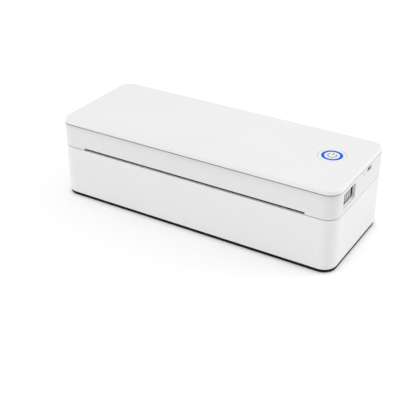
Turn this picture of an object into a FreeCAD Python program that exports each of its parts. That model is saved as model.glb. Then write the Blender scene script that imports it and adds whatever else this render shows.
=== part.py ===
import FreeCAD, Part

import math
import os

# A portable thermal printer that takes paper from a roll inside it. The lower case holds the roll
# and the rubber roller, and the hinged upper case holds the print head, the drive and the electronics.
# Millimetres, with +X to the right, +Y to the back and +Z up. The origin lies on the surface that
# the printer stands on, under the middle of its overall box.

# Paper and roll
paper_width = 216.0
roll_diameter = 44.0
roll_clearance = 1.5
slot_height = 2.0
slot_margin = 1.0

# Case
case_depth = 103.0
corner_radius = 12.0
wall = 2.5
floor_thickness = 2.5
lower_case_height = 46.4
seam_gap = 0.7
upper_case_height = 21.2
reveal_height = 0.8
reveal_depth = 1.2
top_plate_thickness = 3.2
top_edge_radius = 2.2
bottom_edge_radius = 1.5
seam_edge_radius = 0.25
deck_rise = 4.0
deck_thickness = 2.0
shelf_rise = 13.8
web_setback = 35.5
base_plate_thickness = 2.2
base_plate_inset = 0.6
foot_diameter = 12.0
foot_proud = 0.7
foot_seat = 0.8
foot_inset = 20.0
lid_rim_thickness = 1.6
lid_rim_drop = 1.2

# Hinge at the back edge of the seam
hinge_barrel_radius = 2.4
hinge_pin_radius = 1.0
hinge_spacing = 170.0
lid_knuckle_width = 14.0
case_knuckle_width = 8.0

# Platen roller, its brackets and the print head
platen_radius = 7.0
platen_core_radius = 4.0
platen_journal_radius = 3.0
platen_end_radius = 2.5
platen_setback = 15.5
platen_rise = 0.8
bracket_gap = 1.4
bracket_thickness = 3.0
bracket_depth = 16.0
bracket_foot_length = 7.5
bushing_radius = 4.5
bushing_flange = 1.0
bracket_top_margin = 0.9
shaft_end_proud = 1.5
gear_end_proud = 0.5
boss_height = 4.0
head_gap = 0.3
head_overrun = 2.0
strip_thickness = 1.0
strip_depth = 12.0
strip_front = 3.6
sink_height = 5.7
sink_depth = 20.6
pivot_setback = 15.5
pivot_lift = 3.7
pivot_radius = 1.5
driver_cover_height = 1.4
driver_cover_depth = 6.0
driver_cover_lap = 2.0
driver_cover_inset = 6.0
driver_edge_radius = 0.6
driver_board_proud = 1.5
fin_count = 5
fin_step = 2.4
fin_gap = 1.2
fin_depth = 1.6
fin_setback = 2.5
spring_seat_margin = 1.0
head_spring_setback = 6.0
pivot_pin_half = 3.0

# Drive: tooth counts, and the layers of the train counted outward from the left bracket
drive_module = 0.6
platen_teeth = 30
small_teeth = 20
large_teeth = 36
pinion_teeth = 12
pressure_angle = math.radians(20.0)
tooth_addendum = 0.75
tooth_dedendum = 1.0
tooth_slack = 0.1
reduction_angle = math.radians(40.0)
motor_angle = math.radians(20.0)
frame_thickness = 1.2
layer_gap = 0.8
large_gear_width = 3.0
small_gear_width = 3.2
motor_radius = 7.5
motor_length = 12.0
motor_end_gap = 1.1
motor_shaft_radius = 1.0
post_radius = 1.5
post_proud = 1.0
frame_seam_gap = 0.4
frame_setback = 1.0
frame_flange_depth = 13.0
frame_flange_reach = 6.0
frame_pivot_margin = 4.0
motor_frame_gap = 1.5
motor_room_gap = 5.0
small_gear_gap = 0.6
motor_edge_radius = 0.8
motor_boss_gap = 1.0
motor_screw_head_radius = 1.9
motor_screw_head_height = 0.7
motor_screw_depth = 3.5
motor_shaft_depth = 5.5
motor_hole_margin = 0.5
pinion_shaft_proud = 0.3
terminal_half_length = 2.5
terminal_half_depth = 2.6

# Paper guides, moved together by two racks and a pinion
guide_thickness = 2.4
guide_travel = 80.0
guide_top_drop = 2.8
rack_module = 0.8
rack_teeth = 18
rack_height = 4.0
rack_body = 3.0
arm_width = 6.0
arm_height = 2.6
pinion_post_radius = 2.5
cradle_thickness = 1.6
cradle_back_space = 10.0
cradle_rim_rise = 8.0
cradle_end_gap = 1.5
wall_step = 3.5
wall_step_drop = 10.5
ramp_gap = 2.5
ramp_tip_rise = 2.0
skid_spread = 12.0
skid_thickness = 1.6
arm_tuck = 9.0
arm_slot_gap = 0.6
guide_rim_gap = 0.6
guide_top_gap = 0.5
guide_hole_radius = 8.8
rack_end = 2.0
rib_thickness = 1.5

# Latch: a slider behind a pocket in the right wall, joined to a bar with a hook at each end
window_setback = 14.5
window_length = 23.5
window_rise = 4.5
window_top_margin = 2.7
window_corner = 2.0
pocket_depth = 1.5
pocket_frame = 0.3
pocket_sill = 1.2
opening_corner = 1.5
slider_thickness = 2.0
slider_travel = 2.5
slider_side_gap = 1.0
slider_rib_height = 1.0
slider_rib_count = 4
bar_rise = 8.6
bar_height = 4.0
bar_depth = 3.2
hook_width = 3.0
hook_wall_gap = 7.1
hook_tip_gap = 0.9
hook_drop = 8.2
hook_nose_height = 2.2
lug_reach = 2.4
lug_height = 2.5
lug_side_margin = 1.5
latch_room_front = 4.0
latch_room_rear = 1.0
ledge_thickness = 1.5
ledge_front = 1.5
ledge_reach = 4.0
ledge_inner = 0.6
slider_top_lap = 0.3
slider_arm_inset = 2.0
pad_front_inset = 2.0
pad_rear_inset = 1.5
pad_bottom_inset = 1.0
pad_top_inset = 1.0
slider_rib_width = 1.4
latch_arm_lap = 0.6
bar_guide_width = 8.0
bar_guide_front = 0.8
bar_guide_skin = 1.5
spring_seat_width = 6.0
spring_seat_depth = 2.0
spring_seat_rise = 0.6

# Button, port and light
button_radius = 12.0
button_gap = 0.2
button_setback = 58.7
button_side_inset = 30.4
button_travel = 0.6
button_proud = 0.1
button_flange = 1.3
button_flange_height = 1.2
button_drop = 0.2
button_edge_radius = 0.4
button_collar = 1.6
button_collar_drop = 1.0
peg_count = 3
peg_gap = 0.4
lamp_size = 1.6
lamp_height = 0.8
switch_size = 6.2
switch_gap = 0.2
plunger_radius = 1.6
plunger_gap = 0.15
plunger_depth = 0.8
plunger_room = 1.5
ring_outer_radius = 9.1
ring_inner_radius = 6.5
ring_depth = 1.6
port_setback = 66.0
port_drop = 3.1
port_width = 8.94
port_height = 3.26
port_skin = 0.3
port_length = 7.3
port_recess = 1.2
port_wall_gap = 0.25
tongue_width = 6.6
tongue_thickness = 0.7
tongue_recess = 0.8
light_port_gap = 11.5
light_radius = 1.0
light_back_lap = 1.0
light_lamp_inset = 1.9
light_lamp_lift = 0.5

# Electronics
board_thickness = 1.6
board_length = 106.0
board_end_gap = 4.5
board_setback = 40.0
board_rear_gap = 12.5
battery_height = 10.0
cable_width = 24.0
cable_thickness = 0.3
cable_inset = 30.0
cable_setback = 4.0
cable_bend = 2.5
cable_drop = 0.75
cable_plug_depth = 1.3
cable_end_gap = 1.5
cable_hole_half = 1.5
cable_hole_margin = 1.0
plug_margin = 1.5
plug_depth = 3.5
plug_height = 1.6
plug_skin = 1.0
plug_slit_margin = 0.3
plug_slit_height = 0.7
plug_slit_rise = 0.5
socket_depth = 4.0
socket_height = 2.5
socket_slit = 0.6
socket_skin = 1.0
battery_board_gap = 16.0
battery_drive_gap = 16.4
battery_setback = 2.0
battery_rear_gap = 5.0
battery_edge_radius = 1.5
battery_lead_drop = 3.0
battery_lead_run = 5.0
battery_lead_ramp = 4.0
motor_wire_count = 4
battery_wire_count = 3
wire_radius = 0.5
wire_step = 1.1
wire_bend = 2.0
lead_rise = 1.2
motor_lead_setback = 3.6
battery_lead_setback = 22.0
lead_socket_inset = 1.0
lead_socket_length = 5.0
lead_socket_half = 3.2
lead_socket_height = 2.4
lead_mouth_length = 4.0
lead_mouth_half = 2.4
lead_mouth_gap = 0.05
lead_depth = 2.5

# Screws
screw_radius = 1.25
screw_head_radius = 2.5
screw_head_height = 1.2
screw_length = 7.0
cross_reach = 1.5
cross_width = 0.6
cross_depth = 0.8
boss_radius = 3.2

# Places of the screws and springs, from the edges and centres that they belong to
base_screw_end_inset = 9.0
base_screw_side_inset = 10.5
base_screw_front_inset = 4.5
bracket_screw_inset = 4.0
bracket_screw_spread = 4.5
rear_post_end_inset = 13.0
rear_post_inset = 6.0
rear_post_board_gap = 8.0
front_post_spacing = 140.0
front_post_lead = 0.5
board_screw_inset = 5.0
board_screw_end_inset = 6.0
board_screw_plug_inset = 11.0
frame_screw_inset = 2.0
frame_screw_setbacks = (4.0, 11.0)
motor_screw_setback = 4.0
motor_screw_spread = 5.0
head_spring_spots = (-95.0, -32.0, 32.0, 95.0)
latch_spring_spots = (-50.0, 50.0)
bar_guide_spots = (-20.0, 20.0)

# Clearances
fit_clearance = 0.05
seat_clearance = 0.02
slide_clearance = 0.3
turn_clearance = 0.3

# How far a cut runs past a face, and how far a shape runs into the one it is joined to
past = 1.0
lap = 0.5

# Two places closer than this count as one
same_place = 0.001

# Springs
spring_wire = 0.5
head_spring_radius = 2.2
head_spring_turns = 4
latch_spring_radius = 1.4
latch_spring_turns = 6
latch_spring_length = 9.0

# Tear bar and paper sensor
tear_tooth = 2.0
tear_tooth_height = 1.0
tear_slot_gap = 0.1
tear_height = 6.4
tear_thickness = 0.5
sensor_x = -30.0
sensor_setback = 1.0
sensor_length = 8.0
sensor_depth = 5.0
sensor_height = 2.4
sensor_eye = 2.0
sensor_eye_depth = 0.8

# Chips on the board: middle as shares of its length and depth, then length, depth and height
chips = [(0.44, 0.67, 20.0, 14.0, 2.2), (0.59, 0.29, 10.0, 10.0, 1.2), (0.21, 0.79, 9.0, 9.0, 2.6),
         (0.75, 0.75, 6.0, 5.0, 1.2), (0.36, 0.25, 5.0, 4.0, 1.0)]

# Levels
plate_z = foot_proud
case_z = plate_z + base_plate_thickness
floor_z = case_z + floor_thickness
seam_low = case_z + lower_case_height
seam_high = seam_low + seam_gap
hinge_z = (seam_low + seam_high) / 2
band_top = seam_high + upper_case_height
top_z = band_top + reveal_height
top_face = top_z + top_plate_thickness
deck_z = seam_high + deck_rise
deck_top = deck_z + deck_thickness
shelf_z = seam_high + shelf_rise
shelf_top = shelf_z + deck_thickness

# Depth of the case, shared about the origin with the hinge barrels behind it
front_y = -(case_depth + hinge_barrel_radius) / 2
rear_y = front_y + case_depth
inner_front = front_y + wall
inner_rear = rear_y - wall
web_y = front_y + web_setback

# Layers of the drive, measured outward from the middle of the printer
paper_half = paper_width / 2
bracket_u = paper_half + bracket_gap
frame_u = bracket_u + bracket_thickness
large_u = frame_u + frame_thickness + layer_gap
motor_plate_u = large_u + large_gear_width + layer_gap
small_u = motor_plate_u
motor_u = motor_plate_u + frame_thickness
inner_u = motor_u + motor_length + motor_end_gap
half_length = inner_u + wall

# Centres of the turning parts, as Y and Z
platen_y = front_y + platen_setback
platen_z = seam_high + platen_rise - platen_radius
platen_pitch = drive_module * platen_teeth / 2
small_pitch = drive_module * small_teeth / 2
large_pitch = drive_module * large_teeth / 2
pinion_pitch = drive_module * pinion_teeth / 2
reduction_y = platen_y + (platen_pitch + small_pitch) * math.cos(reduction_angle)
reduction_z = platen_z + (platen_pitch + small_pitch) * math.sin(reduction_angle)
motor_y = reduction_y + (large_pitch + pinion_pitch) * math.cos(motor_angle)
motor_z = reduction_z + (large_pitch + pinion_pitch) * math.sin(motor_angle)
head_z = platen_z + platen_radius + head_gap
sink_z = head_z + strip_thickness
strip_y = platen_y - strip_front
pivot_y = platen_y + pivot_setback
pivot_z = sink_z + pivot_lift
head_half = paper_half + head_overrun
head_rear = strip_y + sink_depth
sink_top = sink_z + sink_height
head_spring_y = strip_y + head_spring_setback

# Roll, guides and racks
cradle_radius = roll_diameter / 2 + roll_clearance
cradle_outer = cradle_radius + cradle_thickness
roll_y = inner_rear - cradle_back_space - cradle_radius
roll_z = floor_z + cradle_outer
guide_top = seam_low - guide_top_drop
guide_u = paper_half + slide_clearance
guide_outer_u = guide_u + guide_thickness
cradle_half = guide_outer_u + cradle_end_gap
rack_pitch = rack_module * rack_teeth / 2
rack_z = floor_z + slide_clearance
rack_top = rack_z + rack_height
rack_reach = rack_pitch + tooth_dedendum * rack_module + rack_body
arm_z = rack_top + slide_clearance
arm_top = arm_z + arm_height
rack_clear_y = roll_y - math.sqrt(cradle_outer ** 2 - (roll_z - rack_top) ** 2)
rack_pinion_y = rack_clear_y - slide_clearance - rack_reach

# Latch
window_front = front_y + window_setback
window_rear = window_front + window_length
window_z = seam_high + window_rise
window_top = band_top - window_top_margin
pocket_x = half_length - pocket_depth
opening_front = window_front + pocket_frame
opening_rear = window_rear - pocket_frame
opening_z = window_z + pocket_sill
opening_top = window_top - pocket_frame
slider_x = inner_u - slide_clearance
slider_front = opening_front - slider_travel - slider_side_gap
slider_rear = opening_rear - slider_travel - slide_clearance
slider_z = opening_z + slider_side_gap
bar_y = inner_front + lug_reach + slide_clearance
bar_rear = bar_y + bar_depth
bar_z = seam_high + bar_rise
bar_top = bar_z + bar_height
hook_u = inner_u - hook_wall_gap - hook_width
hook_z = seam_high - hook_drop
lug_z = hook_z + hook_nose_height + slide_clearance
spring_seat_y = bar_rear + latch_spring_length + 2 * fit_clearance

# Button, port and electronics
button_x = half_length - button_side_inset
button_y = front_y + button_setback
port_y = front_y + port_setback
port_z = band_top - port_drop
light_y = port_y - light_port_gap
board_top = port_z - port_height / 2
board_z = board_top - board_thickness
board_x1 = inner_u - board_end_gap
board_x0 = board_x1 - board_length
board_y0 = front_y + board_setback
board_y1 = inner_rear - board_rear_gap
button_top = top_face + button_proud
button_under = top_z - button_drop
button_low = button_under - button_flange_height
switch_top = button_low - button_travel - switch_gap
port_x = half_length - port_recess
port_back = port_x - port_length
peg_ring = (ring_inner_radius + ring_outer_radius) / 2
peg_angles = [2 * math.pi * peg / peg_count for peg in range(peg_count)]
peg_spots = [(button_x + peg_ring * math.cos(angle), button_y + peg_ring * math.sin(angle))
             for angle in peg_angles]
cable_x = board_x0 + cable_inset
cable_y = web_y + deck_thickness + cable_setback
lead_z = board_top + lead_rise
lead_spots = (board_y0 + motor_lead_setback, board_y0 + battery_lead_setback)
battery_x0 = -frame_u + battery_drive_gap
battery_x1 = board_x0 - battery_board_gap
battery_y0 = web_y + deck_thickness + battery_setback
battery_y1 = inner_rear - battery_rear_gap

# Places of the fastenings, as X and Y
base_screw_spots = [(side * (inner_u - base_screw_end_inset), y) for side in (-1, 1)
                    for y in (inner_front + base_screw_side_inset, inner_rear - base_screw_side_inset)]
base_screw_spots += [(side * paper_half / 2, inner_front + base_screw_front_inset) for side in (-1, 1)]
bracket_screw_spots = [(side * (frame_u + bracket_foot_length - bracket_screw_inset), platen_y + y)
                       for side in (-1, 1) for y in (-bracket_screw_spread, bracket_screw_spread)]
rear_posts = [(x, inner_rear - rear_post_inset) for x in
              (-inner_u + rear_post_end_inset, board_x0 - rear_post_board_gap, inner_u - rear_post_end_inset)]
front_posts = [(side * front_post_spacing / 2, platen_y - front_post_lead) for side in (-1, 1)]
board_spots = [(board_x0 + board_screw_plug_inset, board_y0 + board_screw_inset),
               (board_x0 + board_screw_inset, board_y1 - board_screw_inset),
               (board_x1 - board_screw_end_inset, board_y0 + board_screw_inset),
               (board_x1 - board_screw_end_inset, board_y1 - board_screw_inset)]
frame_spots = [(side * (bracket_u - frame_screw_inset), platen_y + y)
               for side in (-1, 1) for y in frame_screw_setbacks]
motor_spots = [(motor_y + motor_screw_setback, motor_z + side * motor_screw_spread) for side in (-1, 1)]
foot_spots = [(side * (half_length - foot_inset), y) for side in (-1, 1)
              for y in (front_y + foot_inset, rear_y - foot_inset)]


def vec(x, y, z):
    return FreeCAD.Vector(x, y, z)


def box(x0, x1, y0, y1, z0, z1):
    return Part.makeBox(x1 - x0, y1 - y0, z1 - z0, vec(x0, y0, z0))


def rod_x(y, z, radius, x0, x1):
    return Part.makeCylinder(radius, x1 - x0, vec(x0, y, z), vec(1, 0, 0))


def rod_z(x, y, radius, z0, z1):
    return Part.makeCylinder(radius, z1 - z0, vec(x, y, z0), vec(0, 0, 1))


def prism(points, along):
    face = Part.Face(Part.makePolygon(points + points[:1]))
    return face.extrude(along)


def prism_x(points, x0, x1):
    return prism([vec(x0, y, z) for y, z in points], vec(x1 - x0, 0, 0))


def joined(first, *others):
    return first.fuse(list(others)).removeSplitter()


def mirrored(shape):
    return shape.mirror(vec(0, 0, 0), vec(1, 0, 0))


def rounded(shape, radius, keep):
    return shape.makeFillet(radius, [edge for edge in shape.Edges if keep(edge)])


def upright(edge):
    ends = edge.Vertexes
    return len(ends) == 2 and abs(ends[0].Z - ends[1].Z) > same_place


def at_level(level):
    return lambda edge: all(abs(end.Z - level) < same_place for end in edge.Vertexes)


# The outline of the case, drawn in by an inset, between two levels
def slab(inset, z0, z1):
    block = box(-half_length + inset, half_length - inset, front_y + inset, rear_y - inset, z0, z1)
    return rounded(block, corner_radius - inset, upright)


# A box seen along X with rounded corners, for the openings in the right wall
def window(x0, x1, y0, y1, z0, z1, radius):
    block = box(x0, x1, y0, y1, z0, z1)
    return rounded(block, radius, lambda edge: abs(edge.Vertexes[0].X - edge.Vertexes[1].X) > same_place)


# The recess for a cross-head driver
def cross(x, y, z0, z1):
    half = cross_width / 2
    return joined(box(x - cross_reach, x + cross_reach, y - half, y + half, z0, z1),
                  box(x - half, x + half, y - cross_reach, y + cross_reach, z0, z1))


# A screw that points up, with its head under the level where it seats
def screw_up(x, y, seat, length):
    low = seat - screw_head_height
    head = rod_z(x, y, screw_head_radius, low, seat)
    screw = head.fuse(rod_z(x, y, screw_radius, seat, seat + length))
    return screw.cut(cross(x, y, low - past, low + cross_depth))


# A screw that points down, with its head on the level where it seats
def screw_down(x, y, seat, length):
    high = seat + screw_head_height
    head = rod_z(x, y, screw_head_radius, seat, high)
    screw = head.fuse(rod_z(x, y, screw_radius, seat - length, seat))
    return screw.cut(cross(x, y, high - cross_depth, high + past))


def screw_hole(x, y, z0, z1):
    return rod_z(x, y, screw_radius + fit_clearance, z0, z1)


# Outline of a gear with involute teeth, as radius and angle, with one tooth centred at tooth_at
def gear_outline(teeth, module, tooth_at):
    pitch = module * teeth / 2
    base = pitch * math.cos(pressure_angle)
    tip = pitch + tooth_addendum * module
    root = pitch - tooth_dedendum * module
    half_pitch = (math.pi * module / 2 - tooth_slack) / 2 / pitch

    def half_angle(radius):
        lean = math.acos(min(1.0, base / radius))
        return half_pitch + math.tan(pressure_angle) - pressure_angle - math.tan(lean) + lean

    start = max(base, root)
    flank = [(radius, half_angle(radius)) for radius in [start + (tip - start) * i / 3 for i in range(4)]]
    if root < start:
        flank.insert(0, (root, half_angle(start)))
    points = []
    for tooth in range(teeth):
        centre = tooth_at + 2 * math.pi * tooth / teeth
        points += [(radius, centre - half) for radius, half in flank]
        points += [(radius, centre + half) for radius, half in reversed(flank)]
    return points


def gear_x(teeth, tooth_at, y, z, x0, x1):
    points = [vec(x0, y + radius * math.cos(angle), z + radius * math.sin(angle))
              for radius, angle in gear_outline(teeth, drive_module, tooth_at)]
    return prism(points, vec(x1 - x0, 0, 0))


# A helical spring along a straight axis: each quarter turn is two tangent arcs
def spring(start, axis, side, radius, length, turns):
    other = axis.cross(side)
    rise = (length - spring_wire) / turns
    lead = rise / (2 * math.pi)

    def place(turn):
        angle = 2 * math.pi * turn
        ring = side * (radius * math.cos(angle)) + other * (radius * math.sin(angle))
        return start + axis * (spring_wire / 2 + rise * turn) + ring

    def heading(turn):
        angle = 2 * math.pi * turn
        along = other * (radius * math.cos(angle)) - side * (radius * math.sin(angle)) + axis * lead
        return along.normalize()

    def arc(first, corner, last):
        middle = (first + last) * 0.5
        half = (last - first).Length / 2
        lean = math.acos(half / (corner - first).Length)
        crown = middle + (corner - middle).normalize() * (half * math.tan(lean / 2))
        return Part.Arc(first, crown, last).toShape()

    edges = []
    for step in range(turns * 4):
        p0, p1 = place(step / 4), place((step + 1) / 4)
        t0, t1 = heading(step / 4), heading((step + 1) / 4)
        span, both = p1 - p0, t0 + t1
        a, b, c = 2 * (1 - t0.dot(t1)), 2 * span.dot(both), -span.dot(span)
        reach = (math.sqrt(b * b - 4 * a * c) - b) / (2 * a)
        q0, q1 = p0 + t0 * reach, p1 - t1 * reach
        joint = (q0 + q1) * 0.5
        edges += [arc(p0, q0, joint), arc(joint, q1, p1)]
    section = Part.Wire(Part.Circle(place(0), heading(0), spring_wire / 2).toShape())
    coil = Part.Wire(edges).makePipeShell([section], True, False)
    print("spring: least gap between turns %.2f mm, volume %.2f mm3" % (rise - spring_wire, coil.Volume))
    return coil


# A lead that follows straight runs with a rounded bend at each corner
def lead(points, bend, section):
    edges = []
    last = points[0]
    for before, corner, after in zip(points, points[1:], points[2:]):
        inward = (before - corner).normalize()
        outward = (after - corner).normalize()
        half = math.acos(max(-1.0, min(1.0, inward.dot(outward)))) / 2
        setback = bend / math.tan(half)
        first, final = corner + inward * setback, corner + outward * setback
        crown = corner + (inward + outward).normalize() * (bend / math.sin(half) - bend)
        edges += [Part.LineSegment(last, first).toShape(), Part.Arc(first, crown, final).toShape()]
        last = final
    edges.append(Part.LineSegment(last, points[-1]).toShape())
    return Part.Wire(edges).makePipeShell([section], True, False)


# The hinge's knuckles, as spans along X
def knuckle_spans(of_lid):
    spans = []
    for side in (-1, 1):
        middle = side * hinge_spacing / 2
        half = lid_knuckle_width / 2
        if of_lid:
            spans.append((middle - half, middle + half))
        else:
            outer = half + slide_clearance + case_knuckle_width
            spans.append((middle - outer, middle - half - slide_clearance))
            spans.append((middle + half + slide_clearance, middle + outer))
    return spans


def knuckles(of_lid):
    return [rod_x(rear_y, hinge_z, hinge_barrel_radius, x0, x1) for x0, x1 in knuckle_spans(of_lid)]


def knuckle_room(of_lid):
    return [rod_x(rear_y, hinge_z, hinge_barrel_radius + turn_clearance, x0 - slide_clearance,
                  x1 + slide_clearance) for x0, x1 in knuckle_spans(of_lid)]


def hinge_bore(radius):
    return rod_x(rear_y, hinge_z, radius, -half_length, half_length)


# Lower half

def lower_case():
    shell = rounded(slab(0, case_z, seam_low), bottom_edge_radius, at_level(case_z))
    shell = rounded(shell, seam_edge_radius, at_level(seam_low))
    shell = shell.cut(slab(wall, floor_z, seam_low + past))
    shell = shell.cut(knuckle_room(True))
    boss_top = floor_z + boss_height
    base_boss_top = floor_z + screw_length
    bosses = [rod_z(x, y, boss_radius, floor_z - lap, base_boss_top) for x, y in base_screw_spots]
    bosses += [rod_z(x, y, boss_radius, floor_z - lap, boss_top) for x, y in bracket_screw_spots]
    rib_y = rack_pinion_y - rack_reach - slide_clearance
    rib = box(-bracket_u, bracket_u, rib_y - rib_thickness, rib_y, floor_z - lap, rack_z + rack_body)
    post = rod_z(0, rack_pinion_y, pinion_post_radius, floor_z - lap, rack_top + slide_clearance)
    lugs = []
    for side in (-1, 1):
        middle = side * (hook_u + hook_width / 2)
        half = hook_width / 2 + lug_side_margin
        lugs.append(box(middle - half, middle + half, inner_front - lap, inner_front + lug_reach,
                        lug_z, lug_z + lug_height))
    shell = joined(shell, rib, post, *bosses, *lugs, *knuckles(False))
    holes = [screw_hole(x, y, case_z - past, case_z + screw_length + lap) for x, y in base_screw_spots]
    holes += [screw_hole(x, y, floor_z - past, boss_top + past) for x, y in bracket_screw_spots]
    holes.append(screw_hole(0, rack_pinion_y, floor_z - past, rack_top + past))
    holes.append(hinge_bore(hinge_pin_radius + seat_clearance))
    return shell.cut(holes)


def base_plate():
    plate = slab(base_plate_inset, plate_z, case_z)
    low = plate_z - past
    cuts = [rod_z(x, y, foot_diameter / 2 + fit_clearance, low, plate_z + foot_seat) for x, y in foot_spots]
    for x, y in base_screw_spots:
        cuts.append(screw_hole(x, y, low, case_z + past))
        cuts.append(rod_z(x, y, screw_head_radius + fit_clearance, low, plate_z + screw_head_height))
    return plate.cut(cuts)


def rubber_feet():
    feet = []
    for x, y in foot_spots:
        foot = rod_z(x, y, foot_diameter / 2, 0, foot_proud + foot_seat)
        feet.append(rounded(foot, foot_proud / 2, at_level(0)))
    return Part.makeCompound(feet)


def base_screws():
    return Part.makeCompound([screw_up(x, y, plate_z + screw_head_height, screw_length)
                              for x, y in base_screw_spots])


def hinge_pins():
    pins = []
    half = lid_knuckle_width / 2 + slide_clearance + case_knuckle_width
    for side in (-1, 1):
        middle = side * hinge_spacing / 2
        pins.append(rod_x(rear_y, hinge_z, hinge_pin_radius, middle - half, middle + half))
    return Part.makeCompound(pins)


# The trough that the roll lies in, with a ramp that leads the paper up to the platen
def roll_cradle():
    rim = roll_z + cradle_rim_rise
    end = cradle_half + cradle_thickness
    front, back = roll_y - cradle_outer - wall_step, roll_y + cradle_outer + wall_step
    step_z = roll_z - wall_step_drop
    outside = joined(rod_x(roll_y, roll_z, cradle_outer, -end, end),
                     box(-end, end, front, back, step_z - cradle_thickness, guide_top))
    outside = outside.common(box(-end, end, front_y, rear_y, 0, guide_top))
    hollow = joined(rod_x(roll_y, roll_z, cradle_radius, -cradle_half, cradle_half),
                    box(-cradle_half, cradle_half, front + cradle_thickness, back - cradle_thickness, step_z,
                        guide_top + past))
    mouth = box(-cradle_half, cradle_half, front_y, roll_y, rim, guide_top + past)
    trough = outside.cut([hollow, mouth])
    start = front + lap
    tip_y, tip_z = platen_y + platen_radius + ramp_gap, platen_z + ramp_tip_rise
    ramp = prism_x([(start, rim - 2 * cradle_thickness), (start, rim - cradle_thickness),
                    (tip_y, tip_z), (tip_y, tip_z - cradle_thickness)], -paper_half, paper_half)
    skid_top = roll_z - math.sqrt(cradle_outer ** 2 - skid_spread ** 2) + lap
    skids = []
    for y in (roll_y - skid_spread, roll_y + skid_spread):
        y0, y1 = y - skid_thickness / 2, y + skid_thickness / 2
        skid = box(-cradle_half, cradle_half, y0, y1, floor_z, skid_top)
        skids.append(skid.cut(hollow))
    cradle = joined(trough, ramp, *skids)
    near = guide_outer_u - arm_width - guide_travel - arm_slot_gap
    far = guide_outer_u + arm_slot_gap
    slots = []
    for x0, x1 in ((near, far), (-far, -near)):
        slots.append(box(x0, x1, front, roll_y - arm_tuck + past, arm_z - slide_clearance,
                         arm_top + slide_clearance))
    return cradle.cut(slots)


def platen_bracket(side):
    top = platen_z + bushing_radius + bracket_top_margin
    foot_z = floor_z + boss_height
    foot_top = foot_z + bracket_thickness
    y0, y1 = platen_y - bracket_depth / 2, platen_y + bracket_depth / 2
    plate = box(bracket_u, frame_u, y0, y1, foot_z, top)
    foot = box(bracket_u, frame_u + bracket_foot_length, y0, y1, foot_z, foot_top)
    bracket = joined(plate, foot)
    cuts = [rod_x(platen_y, platen_z, bushing_radius + seat_clearance, bracket_u - past, frame_u + past)]
    cuts += [screw_hole(x, y, foot_z - past, foot_top + past) for x, y in bracket_screw_spots if x > 0]
    bracket = bracket.cut(cuts)
    return bracket if side > 0 else mirrored(bracket)


def platen_bushing(side):
    bore = platen_journal_radius + fit_clearance
    flange = bushing_radius + bushing_flange
    bush = joined(rod_x(platen_y, platen_z, bushing_radius, bracket_u, frame_u),
                  rod_x(platen_y, platen_z, flange, bracket_u - bushing_flange, bracket_u))
    bush = bush.cut(rod_x(platen_y, platen_z, bore, paper_half, frame_u + past))
    return bush if side > 0 else mirrored(bush)


def bracket_screws():
    seat = floor_z + boss_height + bracket_thickness
    return Part.makeCompound([screw_down(x, y, seat, bracket_thickness + boss_height)
                              for x, y in bracket_screw_spots])


def pinion_screw():
    return screw_down(0, rack_pinion_y, rack_top + slide_clearance, rack_height)


# Platen roller

def platen_shaft():
    gear_end = small_u + small_gear_width
    return joined(rod_x(platen_y, platen_z, platen_core_radius, -paper_half, paper_half),
                  rod_x(platen_y, platen_z, platen_journal_radius, -small_u, frame_u + shaft_end_proud),
                  rod_x(platen_y, platen_z, platen_end_radius, -gear_end - gear_end_proud, -small_u + lap))


def platen_rubber():
    sleeve = rod_x(platen_y, platen_z, platen_radius, -paper_half, paper_half)
    return sleeve.cut(rod_x(platen_y, platen_z, platen_core_radius, -paper_half - past, paper_half + past))


def platen_gear():
    outer = -small_u - small_gear_width
    gear = gear_x(platen_teeth, reduction_angle, platen_y, platen_z, outer, -small_u)
    return gear.cut(rod_x(platen_y, platen_z, platen_end_radius, outer - past, 0))


# Paper guides

# A rack bar along X whose teeth face the pinion from the side that facing names (1 back, -1 front)
def rack(facing, x0, x1):
    step = math.pi * rack_module
    half = (step / 2 - tooth_slack) / 2
    lean = math.tan(pressure_angle)
    tip = rack_pinion_y + facing * (rack_pitch - tooth_addendum * rack_module)
    root = rack_pinion_y + facing * (rack_pitch + tooth_dedendum * rack_module)
    back = rack_pinion_y + facing * rack_reach
    tip_half = half - tooth_addendum * rack_module * lean
    root_half = half + tooth_dedendum * rack_module * lean
    points = [vec(x1, root, rack_z), vec(x1, back, rack_z), vec(x0, back, rack_z), vec(x0, root, rack_z)]
    first = math.ceil((x0 + root_half) / step - 0.5)
    last = math.floor((x1 - root_half) / step - 0.5)
    for tooth in range(first, last + 1):
        centre = (tooth + 0.5) * step
        points += [vec(centre - root_half, root, rack_z), vec(centre - tip_half, tip, rack_z),
                   vec(centre + tip_half, tip, rack_z), vec(centre + root_half, root, rack_z)]
    return prism(points, vec(0, 0, rack_height))


# The right guide's rack runs behind the pinion and the left guide's in front of it
def paper_guide(side):
    plate = rod_x(roll_y, roll_z, cradle_radius - guide_rim_gap, guide_u, guide_outer_u)
    plate = plate.common(box(0, half_length, front_y, rear_y, 0, guide_top - guide_top_gap))
    plate = plate.cut(rod_x(roll_y, roll_z, guide_hole_radius, 0, half_length))
    x0, x1 = guide_outer_u - arm_width, guide_outer_u
    rack_front = rack_pinion_y - rack_reach if side < 0 else rack_pinion_y + rack_reach - rack_body
    arm = box(x0, x1, rack_front, roll_y - arm_tuck, arm_z, arm_top)
    riser = box(x0, x1, rack_front, rack_front + rack_body, rack_z, arm_top)
    flange = joined(plate, arm, riser)
    if side < 0:
        return joined(mirrored(flange), rack(side, -guide_outer_u, rack_pitch + rack_end))
    return joined(flange, rack(side, -rack_pitch - rack_end, guide_outer_u))


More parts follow.
